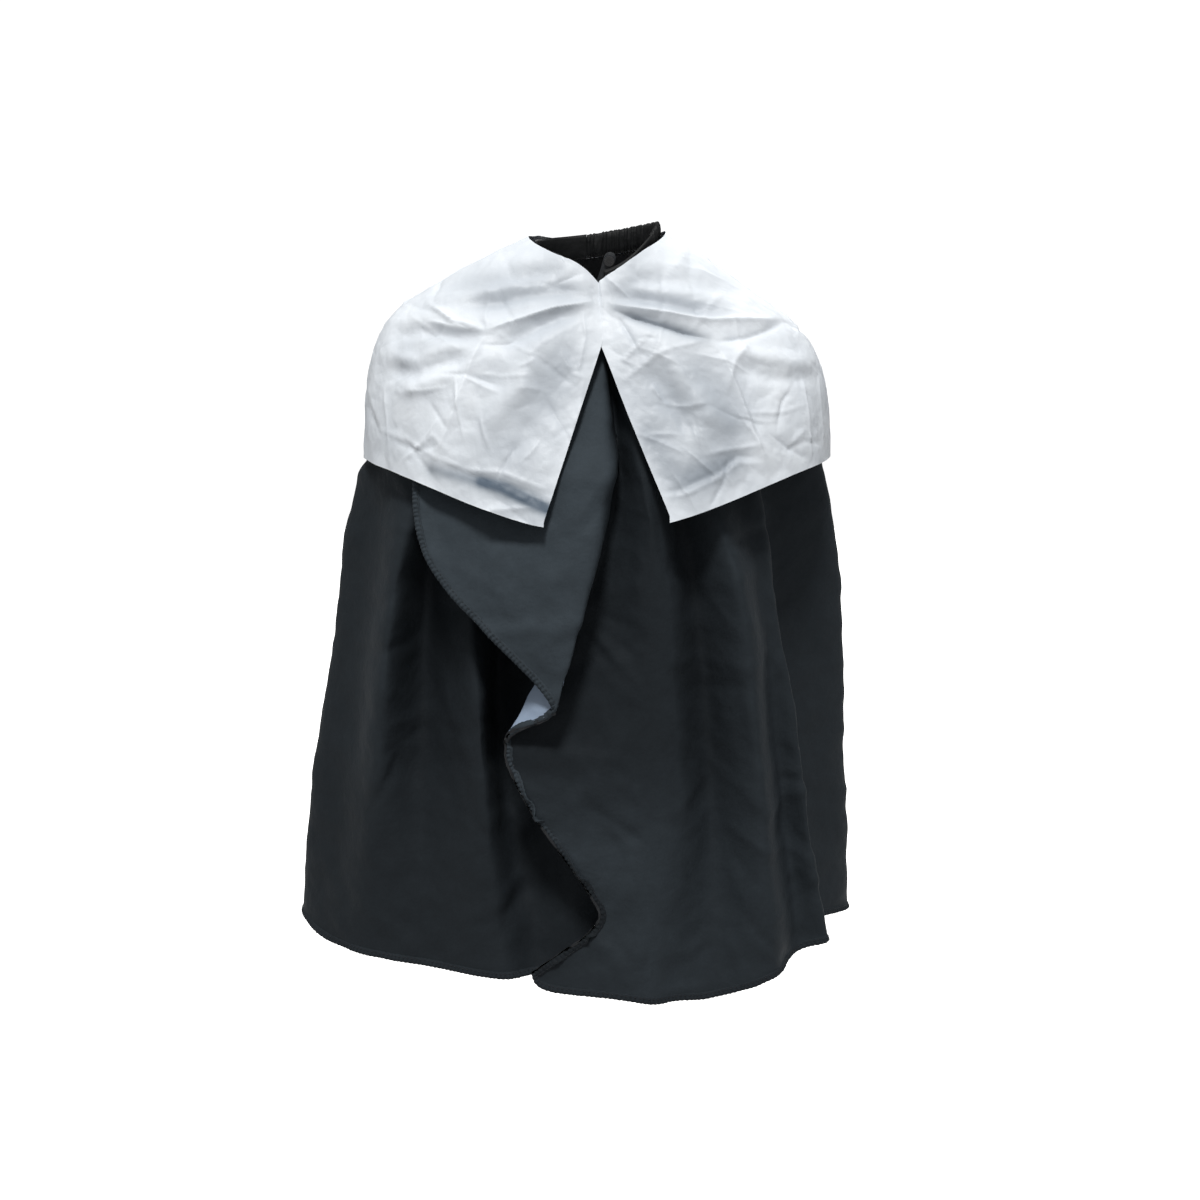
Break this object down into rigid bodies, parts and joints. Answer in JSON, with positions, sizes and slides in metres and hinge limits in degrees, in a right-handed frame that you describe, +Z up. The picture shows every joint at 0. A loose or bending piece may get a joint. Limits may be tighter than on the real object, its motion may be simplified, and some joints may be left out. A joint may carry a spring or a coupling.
{
  "type": "barber cape",
  "caption": "Wrap-over black salon cape with an elastic neckband, a turned lapel and front flap, and a white film shoulder cape snapped over it.",
  "frame": {"origin": "centre of the neck opening, at the middle height of the neckband's sides", "axes": "+Z up along the wearer's neck, -Y out of the open front, +X to the right of someone facing the front"},
  "size_m": [0.5973, 0.3599, 0.7633],
  "materials": {
    "body_cloth": "matte charcoal-black woven polyester, pale blue-grey on the reverse",
    "hem_cloth": "turned and stitched black polyester",
    "band_cloth": "matte black woven polyester, gathered on the elastic",
    "strap_cloth": "dark grey woven tape",
    "elastic": "flat black braided elastic",
    "white_film": "thin translucent white film with packing creases",
    "white_snap": "moulded white plastic",
    "black_snap": "moulded black plastic"
  },
  "bodies": {
    "cape": {"cape_left_front_panel": "body_cloth", "cape_right_front_panel": "body_cloth", "cape_front_inset": "body_cloth", "cape_left_back_panel": "body_cloth", "cape_right_back_panel": "body_cloth", "cape_lapel": "body_cloth", "lapel_edge_hem": "hem_cloth", "left_bottom_hem": "hem_cloth", "right_bottom_hem": "hem_cloth", "back_bottom_hem": "hem_cloth", "neckband_gathered_casing": "band_cloth", "neckband_elastic": "elastic", "neckband_right_end": "band_cloth", "neckband_left_end": "band_cloth", "neckband_snap_stud": "black_snap", "neckband_snap_post": "black_snap"},
    "front_flap": {"cape_front_flap": "body_cloth", "front_flap_edge_hem": "hem_cloth", "front_flap_bottom_hem": "hem_cloth"},
    "strap": {"neck_strap": "strap_cloth", "neck_strap_snap_cap": "black_snap", "neck_strap_snap_socket": "black_snap"},
    "shoulder_cape": {"shoulder_cape_left_side": "white_film", "shoulder_cape_right_flap": "white_film", "shoulder_cape_back": "white_film", "shoulder_cape_snap_stud": "white_snap", "shoulder_cape_snap_post": "white_snap"},
    "shoulder_cape_front": {"shoulder_cape_left_front": "white_film", "shoulder_cape_snap_cap": "white_snap", "shoulder_cape_snap_socket": "white_snap"}
  },
  "joints": [
    {"name": "front_flap_open", "type": "hinge", "parent": "cape", "child": "front_flap", "pos_m": [0.0527, -0.1686, -0.471], "axis": [0, 0.0718, 0.9974], "range_deg": [0, 55]},
    {"name": "neck_strap_fold", "type": "hinge", "parent": "cape", "child": "strap", "pos_m": [0.003, -0.0498, -0.036], "axis": [-0.9563, 0, 0.2924], "range_deg": [0, 70]},
    {"name": "shoulder_cape_lift", "type": "slide", "parent": "cape", "child": "shoulder_cape", "axis": [0, 0, 1], "range_m": [0, 0.3]},
    {"name": "shoulder_cape_front_open", "type": "hinge", "parent": "shoulder_cape", "child": "shoulder_cape_front", "pos_m": [-0.0375, -0.0739, -0.0351], "axis": [-0.3052, -0.3533, -0.8843], "range_deg": [0, 80]}
  ]
}
